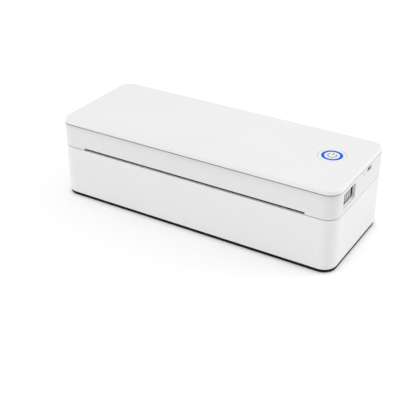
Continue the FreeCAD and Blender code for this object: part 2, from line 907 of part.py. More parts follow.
def guide_pinion():
    points = [vec(radius * math.cos(angle), rack_pinion_y + radius * math.sin(angle), rack_z)
              for radius, angle in gear_outline(rack_teeth, rack_module, math.pi / 2)]
    gear = prism(points, vec(0, 0, rack_height))
    return gear.cut(rod_z(0, rack_pinion_y, pinion_post_radius + fit_clearance, floor_z, rack_top + past))


# Upper half

def upper_case():
    outside = rounded(slab(0, seam_high, band_top), seam_edge_radius, at_level(seam_high))
    shell = outside.cut(slab(wall, seam_high - past, band_top + past))
    web_back = web_y + deck_thickness
    deck = outside.common(box(-half_length, half_length, web_y, rear_y, deck_z, deck_top))
    web = outside.common(box(-half_length, half_length, web_y, web_back, deck_z, shelf_top))
    shelf = outside.common(box(-half_length, half_length, front_y, web_back, shelf_z, shelf_top))
    shell = joined(shell, deck, web, shelf)
    shell = shell.cut(upper_openings() + knuckle_room(False))
    adds = knuckles(True)
    adds += [rod_z(x, y, boss_radius, deck_top - lap, board_z) for x, y in board_spots]
    adds += [rod_z(x, y, boss_radius, shelf_top - lap, shelf_top + boss_height) for x, y in frame_spots]
    adds += [bar_guide(x) for x in bar_guide_spots]
    for x in latch_spring_spots:
        adds.append(box(x - spring_seat_width / 2, x + spring_seat_width / 2, spring_seat_y,
                        spring_seat_y + spring_seat_depth, bar_z + spring_seat_rise, shelf_z + lap))
    ledge_top = slider_z - slide_clearance
    adds.append(box(slider_x - slider_thickness - ledge_inner, inner_u + lap, slider_front - ledge_front,
                    opening_front + ledge_reach, ledge_top - ledge_thickness, ledge_top))
    shell = joined(shell, *adds)
    holes = [screw_hole(x, y, deck_z - past, deck_top + past) for x, y in rear_posts]
    holes += [screw_hole(x, y, shelf_z - past, shelf_top + past) for x, y in front_posts]
    holes += [screw_hole(x, y, deck_top, board_z + past) for x, y in board_spots]
    holes += [screw_hole(x, y, shelf_z - past, shelf_top + boss_height + past) for x, y in frame_spots]
    holes.append(hinge_bore(hinge_pin_radius + fit_clearance))
    return shell.cut(holes + finger_pocket())


# Room for the drive and the latch, the paper slot, and the openings in the right wall
def upper_openings():
    drive_room = box(-inner_u, -frame_u + slide_clearance, inner_front,
                     motor_y + motor_radius + motor_room_gap, seam_high - past, shelf_top + past)
    latch_room = box(slider_x - slider_thickness - bar_depth, inner_u, slider_front - latch_room_front,
                     slider_rear + slider_travel + latch_room_rear, deck_z - past, shelf_top + past)
    slot_half = paper_half + slot_margin
    slot = box(-slot_half, slot_half, front_y - past, inner_front + lap, seam_high - past,
               seam_high + slot_height)
    x0, x1 = inner_u - past, half_length + past
    light = rod_x(light_y, port_z, light_radius + fit_clearance, x0, x1)
    half = cable_width / 2 + cable_hole_margin
    cable_hole = box(cable_x - half, cable_x + half, cable_y - cable_hole_half, cable_y + cable_hole_half,
                     deck_z - past, deck_top + past)
    return [drive_room, latch_room, slot, port_opening(x0, x1, port_wall_gap), light, cable_hole]


# The latch's pocket in the right wall, and the opening in the thin lip behind it
def finger_pocket():
    pocket = window(pocket_x, half_length + past, window_front, window_rear, window_z, window_top,
                    window_corner)
    opening = window(inner_u - past, pocket_x + lap, opening_front, opening_rear, opening_z, opening_top,
                     opening_corner)
    return [pocket, opening]


# The port's rounded outline, grown by a margin
def port_opening(x0, x1, margin):
    half_width = port_width / 2 + margin
    half_height = port_height / 2 + margin
    return window(x0, x1, port_y - half_width, port_y + half_width, port_z - half_height,
                  port_z + half_height, half_height - seat_clearance)


# A hanging guide that carries the latch bar from below
def bar_guide(x):
    x0, x1 = x - bar_guide_width / 2, x + bar_guide_width / 2
    lip_top = bar_z - slide_clearance
    lip_low = lip_top - bar_guide_skin
    front = inner_front + bar_guide_front
    hanger = box(x0, x1, front, bar_y - slide_clearance, lip_low, shelf_z + lap)
    lip = box(x0, x1, front, bar_rear + bar_guide_skin, lip_low, lip_top)
    return hanger.fuse(lip)


def top_plate():
    plate = rounded(slab(0, top_z, top_face), top_edge_radius, at_level(top_face))
    rim_inset = wall + slide_clearance
    bore = slab(rim_inset + lid_rim_thickness, band_top - lid_rim_drop - past, top_z + past)
    rim = slab(rim_inset, band_top - lid_rim_drop, top_z + lap).cut(bore)
    shoulder = slab(reveal_depth, band_top, top_z + lap).cut(bore)
    posts = [rod_z(x, y, boss_radius, deck_top, top_z + lap) for x, y in rear_posts]
    posts += [rod_z(x, y, boss_radius, shelf_top, top_z + lap) for x, y in front_posts]
    flange_room = button_radius + button_flange + button_gap
    collar_low = band_top - button_collar_drop
    collar = rod_z(button_x, button_y, flange_room + button_collar, collar_low, top_z + lap)
    plate = joined(plate, rim, shoulder, collar, *posts)
    cuts = [rod_z(button_x, button_y, button_radius + button_gap, top_z - past, top_face + past),
            rod_z(button_x, button_y, flange_room, collar_low - past, top_z)]
    cuts += [screw_hole(x, y, deck_top - past, deck_z + screw_length + lap) for x, y in rear_posts]
    cuts += [screw_hole(x, y, shelf_top - past, shelf_z + screw_length + lap) for x, y in front_posts]
    return plate.cut(cuts)


def top_screws():
    screws = [screw_up(x, y, deck_z, screw_length) for x, y in rear_posts]
    screws += [screw_up(x, y, shelf_z, screw_length) for x, y in front_posts]
    return Part.makeCompound(screws)


# Button

def power_button():
    cap = rod_z(button_x, button_y, button_radius, button_under - lap, button_top)
    cap = rounded(cap, button_edge_radius, at_level(button_top))
    cap = joined(cap, rod_z(button_x, button_y, button_radius + button_flange, button_low, button_under))
    return cap.cut(light_ring())


# The ring has three pegs that carry light up through the cap
def light_ring():
    low = button_top - ring_depth
    ring = rod_z(button_x, button_y, ring_outer_radius, low, button_top)
    ring = ring.cut(rod_z(button_x, button_y, ring_inner_radius, low - past, button_top + past))
    peg_z = board_top + lamp_height + button_travel + peg_gap
    pegs = [rod_z(x, y, light_radius, peg_z, low + lap) for x, y in peg_spots]
    return joined(ring, *pegs)


def switch_body():
    half = switch_size / 2
    body = box(button_x - half, button_x + half, button_y - half, button_y + half, board_top, switch_top)
    return body.cut(rod_z(button_x, button_y, plunger_radius + plunger_gap, switch_top - plunger_room,
                          switch_top + past))


def switch_plunger():
    return rod_z(button_x, button_y, plunger_radius, switch_top - plunger_depth, button_low)


# Latch

def latch_slider():
    x0, x1 = slider_x - slider_thickness, slider_x
    plate = box(x0, x1, slider_front, slider_rear, slider_z, opening_top + slider_top_lap)
    pad_front = opening_front + pad_front_inset
    pad_rear = slider_rear - pad_rear_inset
    half = slider_rib_width / 2
    ribs = []
    for rib in range(slider_rib_count):
        y = pad_front + (pad_rear - pad_front) * (2 * rib + 1) / (2 * slider_rib_count)
        ribs.append(box(x1 - lap, x1 + slider_rib_height, y - half, y + half, slider_z + pad_bottom_inset,
                        opening_top - pad_top_inset))
    return joined(plate, *ribs)


def latch_bar():
    arm_x1 = slider_x - slider_thickness
    arm_x0 = arm_x1 - bar_depth + latch_arm_lap
    bar = box(-hook_u - hook_width, arm_x0 + latch_arm_lap, bar_y, bar_rear, bar_z, bar_top)
    arm = box(arm_x0, arm_x1, bar_y + bar_depth / 2, slider_rear - slider_arm_inset, bar_z, bar_top)
    hooks = []
    for side in (-1, 1):
        middle = side * (hook_u + hook_width / 2)
        x0, x1 = middle - hook_width / 2, middle + hook_width / 2
        hooks.append(box(x0, x1, bar_y, bar_rear, hook_z, bar_top))
        hooks.append(box(x0, x1, inner_front + hook_tip_gap, bar_rear, hook_z, hook_z + hook_nose_height))
    return joined(bar, arm, *hooks)


def latch_springs():
    springs = []
    for x in latch_spring_spots:
        start = vec(x, bar_rear + fit_clearance, bar_z + bar_height / 2)
        springs.append(spring(start, vec(0, 1, 0), vec(1, 0, 0), latch_spring_radius, latch_spring_length,
                              latch_spring_turns))
    return Part.makeCompound(springs)


# Print head

def heat_sink():
    sink = box(-head_half, head_half, strip_y, head_rear, sink_z, sink_top)
    grooves = []
    for fin in range(fin_count):
        y = strip_y + fin_setback + fin_step * fin
        grooves.append(box(-head_half - past, head_half + past, y, y + fin_gap, sink_top - fin_depth,
                           sink_top + past))
    seats = [rod_z(x, head_spring_y, head_spring_radius + spring_seat_margin, sink_top - fin_depth - lap,
                   sink_top) for x in head_spring_spots]
    pins = [rod_x(pivot_y, pivot_z, pivot_radius, side * head_half - pivot_pin_half,
                  side * head_half + pivot_pin_half) for side in (-1, 1)]
    return joined(sink.cut(grooves), *seats, *pins)


def head_strip():
    return box(-head_half, head_half, strip_y, strip_y + strip_depth, head_z, sink_z)


def driver_board():
    return box(-head_half, head_half, strip_y + strip_depth, head_rear + driver_board_proud, head_z, sink_z)


def driver_cover():
    y0 = strip_y + strip_depth - driver_cover_lap
    half = head_half - driver_cover_inset
    low = head_z - driver_cover_height
    cover = box(-half, half, y0, y0 + driver_cover_depth, low, head_z)
    return rounded(cover, driver_edge_radius, at_level(low))


def head_connector():
    y1 = head_rear + driver_board_proud
    half = cable_width / 2 + plug_margin
    slit_half = cable_width / 2 + plug_slit_margin
    low = head_z - plug_height
    slit_low = low + plug_slit_rise
    body = box(cable_x - half, cable_x + half, y1 - plug_depth, y1, low, head_z)
    return body.cut(box(cable_x - slit_half, cable_x + slit_half, y1 - plug_depth + plug_skin, y1 + past,
                        slit_low, slit_low + plug_slit_height))


def head_springs():
    length = shelf_z - sink_top - 2 * fit_clearance
    springs = []
    for x in head_spring_spots:
        start = vec(x, head_spring_y, sink_top + fit_clearance)
        springs.append(spring(start, vec(0, 0, 1), vec(1, 0, 0), head_spring_radius, length,
                              head_spring_turns))
    return Part.makeCompound(springs)


# Flat cable from the print head up through the deck to the board
def head_cable():
    y0 = head_rear + driver_board_proud - cable_plug_depth
    z0 = head_z - cable_drop
    x0, x1 = cable_x - cable_width / 2, cable_x + cable_width / 2
    low, high = z0 - cable_thickness / 2, z0 + cable_thickness / 2
    corners = [vec(x0, y0, low), vec(x1, y0, low), vec(x1, y0, high), vec(x0, y0, high)]
    section = Part.makePolygon(corners + corners[:1])
    points = [vec(cable_x, y0, z0), vec(cable_x, cable_y, z0), vec(cable_x, cable_y, board_z - cable_end_gap)]
    return lead(points, cable_bend, section)


# Drive

def drive_frame():
    x1 = -frame_u
    x0 = x1 - frame_thickness
    z0 = seam_high + frame_seam_gap
    motor_low, motor_high = motor_z - motor_radius, motor_z + motor_radius
    front = platen_y + frame_setback
    rear = motor_y + motor_radius + motor_frame_gap
    back_y = rear + frame_thickness
    inner = box(x0, x1, front, back_y, z0, shelf_z)
    flange = box(x0, -bracket_u + frame_flange_reach, front, front + frame_flange_depth,
                 shelf_z - frame_thickness, shelf_z)
    back = box(-motor_u, x1, rear, back_y, z0, motor_high)
    face = box(-motor_u, -motor_plate_u, motor_y - motor_radius + motor_boss_gap, back_y, motor_low,
               motor_high)
    gear_room = small_pitch + drive_module + small_gear_gap
    face = face.cut(rod_x(reduction_y, reduction_z, gear_room, -motor_u - past, 0))
    frame = joined(inner, flange, back, face)
    plate = (-motor_u - past, -motor_plate_u + past)
    cuts = [rod_x(reduction_y, reduction_z, post_radius + seat_clearance, x0 - past, x1 + past),
            rod_x(pivot_y, pivot_z, pivot_radius + fit_clearance, x0 - past, x1 + past),
            rod_x(motor_y, motor_z, motor_shaft_radius + motor_boss_gap, *plate)]
    cuts += [screw_hole(x, y, shelf_z - frame_thickness - past, shelf_z + past)
             for x, y in frame_spots if x < 0]
    cuts += [rod_x(y, z, screw_radius + fit_clearance, *plate) for y, z in motor_spots]
    return frame.cut(cuts)


def head_frame():
    x1 = frame_u + frame_thickness
    front = platen_y + frame_setback
    plate = box(frame_u, x1, front, pivot_y + frame_pivot_margin, seam_high + frame_seam_gap, shelf_z)
    flange = box(bracket_u - frame_flange_reach, x1, front, front + frame_flange_depth,
                 shelf_z - frame_thickness, shelf_z)
    frame = joined(plate, flange)
    cuts = [rod_x(pivot_y, pivot_z, pivot_radius + fit_clearance, 0, half_length)]
    cuts += [screw_hole(x, y, shelf_z - frame_thickness - past, shelf_z + past)
             for x, y in frame_spots if x > 0]
    return frame.cut(cuts)


def frame_screws():
    seat = shelf_z - frame_thickness
    return Part.makeCompound([screw_up(x, y, seat, screw_length) for x, y in frame_spots])


def gear_post():
    return rod_x(reduction_y, reduction_z, post_radius, -small_u - small_gear_width - post_proud, -frame_u)


def reduction_gear():
    step = -large_u - large_gear_width
    large = gear_x(large_teeth, motor_angle, reduction_y, reduction_z, step, -large_u)
    facing = reduction_angle + math.pi + math.pi / small_teeth
    small = gear_x(small_teeth, facing, reduction_y, reduction_z, -small_u - small_gear_width, step)
    gear = joined(large, small)
    return gear.cut(rod_x(reduction_y, reduction_z, post_radius + fit_clearance, -half_length, 0))


def motor():
    end = -motor_u - motor_length
    can = rod_x(motor_y, motor_z, motor_radius, end, -motor_u)
    can = rounded(can, motor_edge_radius, lambda edge: abs(edge.BoundBox.XMax - end) < same_place)
    middle, y = -motor_u - motor_length / 2, lead_spots[0]
    terminal = box(middle - terminal_half_length, middle + terminal_half_length, y - terminal_half_depth,
                   y + terminal_half_depth, motor_z, motor_z + motor_radius)
    can = joined(can, terminal)
    cuts = [rod_x(motor_y, motor_z, motor_shaft_radius + fit_clearance,
                  -motor_u - motor_shaft_depth - motor_hole_margin, 0)]
    cuts += [rod_x(y, z, screw_radius + fit_clearance, -motor_u - motor_screw_depth - motor_hole_margin, 0)
             for y, z in motor_spots]
    return can.cut(cuts)


def motor_screws():
    screws = []
    for y, z in motor_spots:
        head = rod_x(y, z, motor_screw_head_radius, -motor_plate_u, -motor_plate_u + motor_screw_head_height)
        screws.append(head.fuse(rod_x(y, z, screw_radius, -motor_u - motor_screw_depth, -motor_plate_u)))
    return Part.makeCompound(screws)


def motor_shaft():
    return rod_x(motor_y, motor_z, motor_shaft_radius, -motor_u - motor_shaft_depth,
                 -large_u + pinion_shaft_proud)


def motor_pinion():
    facing = motor_angle + math.pi + math.pi / pinion_teeth
    gear = gear_x(pinion_teeth, facing, motor_y, motor_z, -large_u - large_gear_width, -large_u)
    return gear.cut(rod_x(motor_y, motor_z, motor_shaft_radius, -half_length, 0))


# Paper exit

def tear_bar():
    low = seam_high + slot_height + tear_slot_gap
    root = low + tear_tooth_height
    high = low + tear_height
    count = int(paper_width / tear_tooth)
    x0 = -count * tear_tooth / 2
    points = [vec(x0, inner_front, high), vec(x0, inner_front, root)]
    for tooth in range(count):
        x = x0 + tooth * tear_tooth
        points += [vec(x + tear_tooth / 2, inner_front, low), vec(x + tear_tooth, inner_front, root)]
    points.append(vec(-x0, inner_front, high))
    return prism(points, vec(0, tear_thickness, 0))


def paper_sensor():
    half, eye = sensor_length / 2, sensor_eye / 2
    y0 = web_y + sensor_setback
    middle = y0 + sensor_depth / 2
    low = deck_z - sensor_height
    body = box(sensor_x - half, sensor_x + half, y0, y0 + sensor_depth, low, deck_z)
    return body.cut(box(sensor_x - eye, sensor_x + eye, middle - eye, middle + eye, low - past,
                        low + sensor_eye_depth))


# Electronics

def main_board():
    board = box(board_x0, board_x1, board_y0, board_y1, board_z, board_top)
    return board.cut([screw_hole(x, y, board_z - past, board_top + past) for x, y in board_spots])


def board_screws():
    length = board_z - deck_top
    return Part.makeCompound([screw_down(x, y, board_top, length) for x, y in board_spots])


# Chips, sockets and lamps on the board
def board_parts():
    parts = []
    for along, across, length, depth, height in chips:
        x = board_x0 + along * board_length
        y = board_y0 + across * (board_y1 - board_y0)
        parts.append(box(x - length / 2, x + length / 2, y - depth / 2, y + depth / 2, board_top,
                         board_top + height))
    half = cable_width / 2 + plug_margin
    slit_half = half - socket_skin
    socket_low = board_z - socket_height
    socket = box(cable_x - half, cable_x + half, cable_y - socket_depth / 2, cable_y + socket_depth / 2,
                 socket_low, board_z)
    parts.append(socket.cut(box(cable_x - slit_half, cable_x + slit_half, cable_y - socket_slit / 2,
                                cable_y + socket_slit / 2, socket_low - past, board_z - socket_skin)))
    x0, x1 = board_x0 + lead_socket_inset, board_x0 + lead_socket_inset + lead_socket_length
    mouth = wire_radius + lead_mouth_gap
    for y in lead_spots:
        body = box(x0, x1, y - lead_socket_half, y + lead_socket_half, board_top,
                   board_top + lead_socket_height)
        parts.append(body.cut(box(board_x0, board_x0 + lead_mouth_length, y - lead_mouth_half,
                                  y + lead_mouth_half, lead_z - mouth, lead_z + mouth)))
    lamps = [(board_x1 - light_lamp_inset, light_y, port_z + light_lamp_lift)]
    lamps += [(x, y, board_top + lamp_height) for x, y in peg_spots]
    half = lamp_size / 2
    parts += [box(x - half, x + half, y - half, y + half, board_top, top) for x, y, top in lamps]
    return Part.makeCompound(parts)


# Round wires side by side that follow one route
def wires(points, count):
    made = []
    for wire in range(count):
        shift = vec(0, (wire - (count - 1) / 2) * wire_step, 0)
        route = [point + shift for point in points]
        section = Part.Wire(Part.Circle(route[0], route[1] - route[0], wire_radius).toShape())
        made.append(lead(route, wire_bend, section))
    return Part.makeCompound(made)


def motor_leads():
    x, y = -motor_u - motor_length / 2, lead_spots[0]
    return wires([vec(x, y, motor_z + motor_radius), vec(x, y, lead_z),
                  vec(board_x0 + lead_socket_inset + lead_depth, y, lead_z)], motor_wire_count)


def battery_leads():
    x0, y = battery_x1, lead_spots[1]
    z0 = deck_top + battery_height - battery_lead_drop
    x1 = x0 + battery_lead_run
    return wires([vec(x0, y, z0), vec(x1, y, z0), vec(x1 + battery_lead_ramp, y, lead_z),
                  vec(board_x0 + lead_socket_inset + lead_depth, y, lead_z)], battery_wire_count)


def battery():
    pack = box(battery_x0, battery_x1, battery_y0, battery_y1, deck_top, deck_top + battery_height)
    return rounded(pack, battery_edge_radius, lambda edge: not at_level(deck_top)(edge))


def port_shell():
    shell = port_opening(port_back, port_x, 0)
    return shell.cut(port_opening(port_back + port_skin, port_x + past, -port_skin))


def port_tongue():
    half, skin = tongue_width / 2, tongue_thickness / 2
    return box(port_back + port_skin, port_x - tongue_recess, port_y - half, port_y + half, port_z - skin,
               port_z + skin)


def charge_light():
    return rod_x(light_y, port_z, light_radius, board_x1 - light_back_lap, half_length)


def write(name, shape):
    shape.exportStep("parts/%s.step" % name)


def main():
    os.makedirs("parts", exist_ok=True)
    for make in (lower_case, base_plate, rubber_feet, base_screws, hinge_pins, roll_cradle, bracket_screws,
                 pinion_screw, platen_shaft, platen_rubber, platen_gear, guide_pinion, upper_case, top_plate,
                 top_screws, power_button, light_ring, switch_body, switch_plunger, latch_slider, latch_bar,
                 latch_springs, heat_sink, head_strip, driver_board, driver_cover, head_connector,
                 head_springs, head_cable, drive_frame, head_frame, frame_screws, gear_post, reduction_gear,
                 motor, motor_screws, motor_shaft, motor_pinion, tear_bar, paper_sensor, main_board,
                 board_screws, board_parts, motor_leads, battery_leads, battery, port_shell, port_tongue,
                 charge_light):
        write(make.__name__, make())
    for side, word in ((-1, "left"), (1, "right")):
        write("platen_bracket_" + word, platen_bracket(side))
        write("platen_bushing_" + word, platen_bushing(side))
        write("paper_guide_" + word, paper_guide(side))


main()
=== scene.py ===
import math

import bmesh
import bpy
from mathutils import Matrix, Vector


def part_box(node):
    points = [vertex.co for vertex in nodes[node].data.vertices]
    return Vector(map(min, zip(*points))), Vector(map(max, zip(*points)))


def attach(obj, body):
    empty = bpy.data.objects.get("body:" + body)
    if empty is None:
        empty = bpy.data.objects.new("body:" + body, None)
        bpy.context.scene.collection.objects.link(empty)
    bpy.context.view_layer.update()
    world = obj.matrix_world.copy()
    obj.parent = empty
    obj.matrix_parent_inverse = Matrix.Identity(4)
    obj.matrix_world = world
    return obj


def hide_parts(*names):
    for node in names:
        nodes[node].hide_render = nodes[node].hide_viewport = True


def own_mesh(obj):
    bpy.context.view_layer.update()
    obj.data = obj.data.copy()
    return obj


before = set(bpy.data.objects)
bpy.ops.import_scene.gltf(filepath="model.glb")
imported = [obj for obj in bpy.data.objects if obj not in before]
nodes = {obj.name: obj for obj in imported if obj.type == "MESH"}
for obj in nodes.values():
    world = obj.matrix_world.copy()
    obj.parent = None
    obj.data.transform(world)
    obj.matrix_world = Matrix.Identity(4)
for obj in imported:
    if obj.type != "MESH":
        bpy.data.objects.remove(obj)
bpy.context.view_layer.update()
scene = bpy.context.scene
scene.view_settings.view_transform = "Standard"
print("frame loaded:", len(nodes), "nodes")


# node tree helpers

def newFinish(name):
    mat = bpy.data.materials.new(name)
    mat.use_nodes = True
    tree = mat.node_tree
    return mat, tree, tree.nodes["Principled BSDF"]


def addNode(tree, kind, sockets=None, **settings):
    node = tree.nodes.new(kind)
    for key, value in settings.items():
        setattr(node, key, value)
    for key, value in (sockets or {}).items():
        node.inputs[key].default_value = value
    return node


def realCoords(tree, stretch=(1, 1, 1)):
    coords = addNode(tree, "ShaderNodeTexCoord")
    mapping = addNode(tree, "ShaderNodeMapping", {"Scale": stretch})
    tree.links.new(coords.outputs["Object"], mapping.inputs["Vector"])  # metres, same as the CAD
    return mapping.outputs["Vector"]


# the range that holds most of a noise's values
noiseLow, noiseHigh = 0.3, 0.7
driftLow, driftHigh = 0.35, 0.65  # the same for a noise with little detail


def noiseOf(tree, where, scale, detail=3.0, rough=0.5):
    noise = addNode(tree, "ShaderNodeTexNoise", {"Scale": scale, "Detail": detail, "Roughness": rough})
    tree.links.new(where, noise.inputs["Vector"])
    return noise.outputs["Fac"]


def rampOf(tree, source, stops):
    ramp = addNode(tree, "ShaderNodeValToRGB")
    for point, (place, colour) in zip(ramp.color_ramp.elements, stops):
        point.position = place
        point.color = (*colour, 1)
    tree.links.new(source, ramp.inputs["Fac"])
    return ramp.outputs["Color"]


def toneOf(tree, source, kit):
    return rampOf(tree, source, [(noiseLow, kit["dark"]), (noiseHigh, kit["light"])])


def spanOf(tree, source, low, high, fromLow=noiseLow, fromHigh=noiseHigh):
    span = addNode(tree, "ShaderNodeMapRange",
                   {"From Min": fromLow, "From Max": fromHigh, "To Min": low, "To Max": high})
    tree.links.new(source, span.inputs["Value"])
    return span.outputs["Result"]


def mathOf(tree, job, a, b):
    node = addNode(tree, "ShaderNodeMath", operation=job)
    for slot, value in zip(node.inputs, (a, b)):
        if isinstance(value, (int, float)):
            slot.default_value = value
        else:
            tree.links.new(value, slot)
    return node.outputs["Value"]


# one where the source lies between two limits, and zero elsewhere
def bandOf(tree, source, low, high):
    above = mathOf(tree, "GREATER_THAN", source, low)
    return mathOf(tree, "MULTIPLY", above, mathOf(tree, "LESS_THAN", source, high))


# one for rays that end at the eye, straight or by a mirror or glass
def seenRays(tree):
    path = addNode(tree, "ShaderNodeLightPath")
    bent = mathOf(tree, "MAXIMUM", path.outputs["Is Glossy Ray"], path.outputs["Is Transmission Ray"])
    return mathOf(tree, "MAXIMUM", path.outputs["Is Camera Ray"], bent)


def axisOf(tree, where, axis):
    split = addNode(tree, "ShaderNodeSeparateXYZ")
    tree.links.new(where, split.inputs["Vector"])
    return split.outputs[axis]


# the colour sockets of a mix node, which shares their names with its other kinds
mixSockets = {"first": 6, "second": 7, "result": 2}


def bumpInto(tree, shader, source, strength, depth):
    bump = addNode(tree, "ShaderNodeBump", {"Strength": strength, "Distance": depth})
    tree.links.new(source, bump.inputs["Height"])
    tree.links.new(bump.outputs["Normal"], shader.inputs["Normal"])


def dress(mat, names):
    for name in names:
        slots = nodes[name].data.materials
        slots.clear()
        slots.append(mat)


# a finished mesh becomes a piece
def pieceFrom(bm, name):
    bmesh.ops.recalc_face_normals(bm, faces=bm.faces)
    mesh = bpy.data.meshes.new(name)
    bm.to_mesh(mesh)
    bm.free()
    piece = bpy.data.objects.new(name, mesh)
    scene.collection.objects.link(piece)
    return piece


# painted shade at the front of the top plate, as in the picture: the joint painted dark, and a painted fade
# down the lid below it
def shadeAtPlate(tree, where, tone, shade):
    height = axisOf(tree, where, "Z")
    front = spanOf(tree, axisOf(tree, where, "Y"), 1.0, 0.0, *shade["front"])
    rise = mathOf(tree, "POWER", spanOf(tree, height, 0.0, 1.0, *shade["fadeHeights"]), shade["fadePower"])
    joint = bandOf(tree, height, *shade["joint"])
    dark = mathOf(tree, "MAXIMUM", mathOf(tree, "MULTIPLY", rise, shade["fadeShade"]),
                  mathOf(tree, "MULTIPLY", joint, shade["jointShade"]))
    dark = mathOf(tree, "MULTIPLY", dark, front)
    mix = addNode(tree, "ShaderNodeMix", {"Factor": 1.0}, data_type="RGBA", blend_type="MULTIPLY")
    tree.links.new(tone, mix.inputs[mixSockets["first"]])
    tree.links.new(mathOf(tree, "SUBTRACT", 1.0, dark), mix.inputs[mixSockets["second"]])
    return mix.outputs[mixSockets["result"]]


# moulded plastics: a fine spark-eroded grain, uneven gloss and a slow drift of tone
def mouldedPlastic(kit):
    mat, tree, shader = newFinish(kit["name"])
    where = realCoords(tree)
    drift = noiseOf(tree, where, kit["driftScale"], detail=2.0)
    tone = rampOf(tree, drift, [(driftLow, kit["dark"]), (driftHigh, kit["light"])])
    # painted shade near the top plate, for the kits that carry a shade entry
    if "shade" in kit:
        tone = shadeAtPlate(tree, where, tone, kit["shade"])
    tree.links.new(tone, shader.inputs["Base Color"])
    grain = noiseOf(tree, where, kit["grainScale"], detail=2.0, rough=0.6)
    gloss = spanOf(tree, noiseOf(tree, where, kit["glossScale"]), *kit["roughness"])
    tree.links.new(gloss, shader.inputs["Roughness"])
    bumpInto(tree, shader, grain, kit["grainStrength"], kit["grainDepth"])
    shader.inputs["IOR"].default_value = kit["ior"]
    if "specular" in kit:
        shader.inputs["Specular IOR Level"].default_value = kit["specular"]
    dress(mat, kit["nodes"])


satinWhite = {
    "dark": (0.800, 0.801, 0.804), "light": (0.822, 0.823, 0.825),
    "driftScale": 9.0, "glossScale": 60.0, "roughness": (0.46, 0.54),
    "grainScale": 2600.0, "grainStrength": 0.05, "grainDepth": 0.00006, "ior": 1.49,
}
# painted shade on the front only: the joint under the plate painted dark, and the lid darkened in a fade up
# towards the plate
frontShade = {
    "front": (-0.050, -0.042), "fadeHeights": (0.061, 0.0712), "fadePower": 2.5, "jointShade": 0.42,
}
whiteShell = {**satinWhite, "name": "satinWhiteShell", "nodes": ["lower_case", "power_button"]}
# the plate's shoulder inside the joint is painted dark: painted shade
whitePlate = {
    **satinWhite, "name": "satinWhitePlate", "nodes": ["top_plate"],
    "shade": {**frontShade, "fadeShade": 0.0, "joint": (0.0700, 0.07195)},
}
# the lid's white is set a little darker than the lower case's, and carries the painted shade below the plate
whiteLid = {
    **satinWhite, "name": "satinWhiteLid", "nodes": ["upper_case"],
    "dark": (0.760, 0.761, 0.764), "light": (0.781, 0.782, 0.784),
    "shade": {**frontShade, "fadeShade": 0.13, "joint": (0.07115, 0.0720)},
}
# the latch slider is a mid grey, well below the shell's white: painted shade for the sunken pocket it sits in
fingerLatch = {
    "name": "greyLatchPaintedShade", "nodes": ["latch_slider"],
    "dark": (0.560, 0.562, 0.566), "light": (0.590, 0.592, 0.596),
    "driftScale": 40.0, "glossScale": 120.0, "roughness": (0.40, 0.50),
    "grainScale": 3200.0, "grainStrength": 0.08, "grainDepth": 0.00006, "ior": 1.49,
}
blackBase = {
    "name": "matteBlackBase", "nodes": ["base_plate"],
    "dark": (0.004, 0.004, 0.004), "light": (0.007, 0.007, 0.008),
    "driftScale": 30.0, "glossScale": 90.0, "roughness": (0.52, 0.64),
    "grainScale": 1800.0, "grainStrength": 0.20, "grainDepth": 0.0001, "ior": 1.30, "specular": 0.2,
}
greyTray = {
    "name": "greyTrayPlastic", "nodes": ["roll_cradle"],
    "dark": (0.300, 0.304, 0.310), "light": (0.335, 0.339, 0.345),
    "driftScale": 14.0, "glossScale": 70.0, "roughness": (0.42, 0.54),
    "grainScale": 1500.0, "grainStrength": 0.18, "grainDepth": 0.0001, "ior": 1.49,
}
paperGuides = {
    "name": "darkGuidePlastic", "nodes": ["paper_guide_left", "paper_guide_right", "latch_bar"],
    "dark": (0.060, 0.062, 0.066), "light": (0.078, 0.080, 0.085),
    "driftScale": 26.0, "glossScale": 110.0, "roughness": (0.36, 0.48),
    "grainScale": 2200.0, "grainStrength": 0.15, "grainDepth": 0.00008, "ior": 1.48,
}
acetalGears = {
    "name": "creamAcetal",
    "nodes": ["platen_gear", "reduction_gear", "guide_pinion", "platen_bushing_left", "platen_bushing_right"],
    "dark": (0.700, 0.672, 0.570), "light": (0.745, 0.720, 0.620),
    "driftScale": 120.0, "glossScale": 260.0, "roughness": (0.26, 0.40),
    "grainScale": 3000.0, "grainStrength": 0.06, "grainDepth": 0.00005, "ior": 1.48,
}
blackResin = {
    "name": "blackMouldedResin",
    "nodes": ["driver_cover", "board_parts", "switch_body", "paper_sensor", "port_tongue"],
    "dark": (0.016, 0.016, 0.017), "light": (0.026, 0.026, 0.028),
    "driftScale": 150.0, "glossScale": 300.0, "roughness": (0.40, 0.58),
    "grainScale": 4000.0, "grainStrength": 0.25, "grainDepth": 0.00006, "ior": 1.50,
}
creamNylon = {
    "name": "creamNylonPlugs", "nodes": ["head_connector", "switch_plunger"],
    "dark": (0.640, 0.612, 0.500), "light": (0.690, 0.665, 0.560),
    "driftScale": 160.0, "glossScale": 260.0, "roughness": (0.36, 0.50),
    "grainScale": 3000.0, "grainStrength": 0.10, "grainDepth": 0.00005, "ior": 1.53,
}
redLeads = {
    "name": "softLeadCover", "nodes": ["battery_leads", "motor_leads"],
    "dark": (0.360, 0.022, 0.018), "light": (0.450, 0.032, 0.026),
    "driftScale": 200.0, "glossScale": 300.0, "roughness": (0.40, 0.55),
    "grainScale": 2500.0, "grainStrength": 0.08, "grainDepth": 0.00005, "ior": 1.50,
}
for kit in (whiteShell, whitePlate, whiteLid, fingerLatch, blackBase, greyTray, paperGuides, acetalGears,
            blackResin, creamNylon, redLeads):
    mouldedPlastic(kit)
print("moulded plastics done")


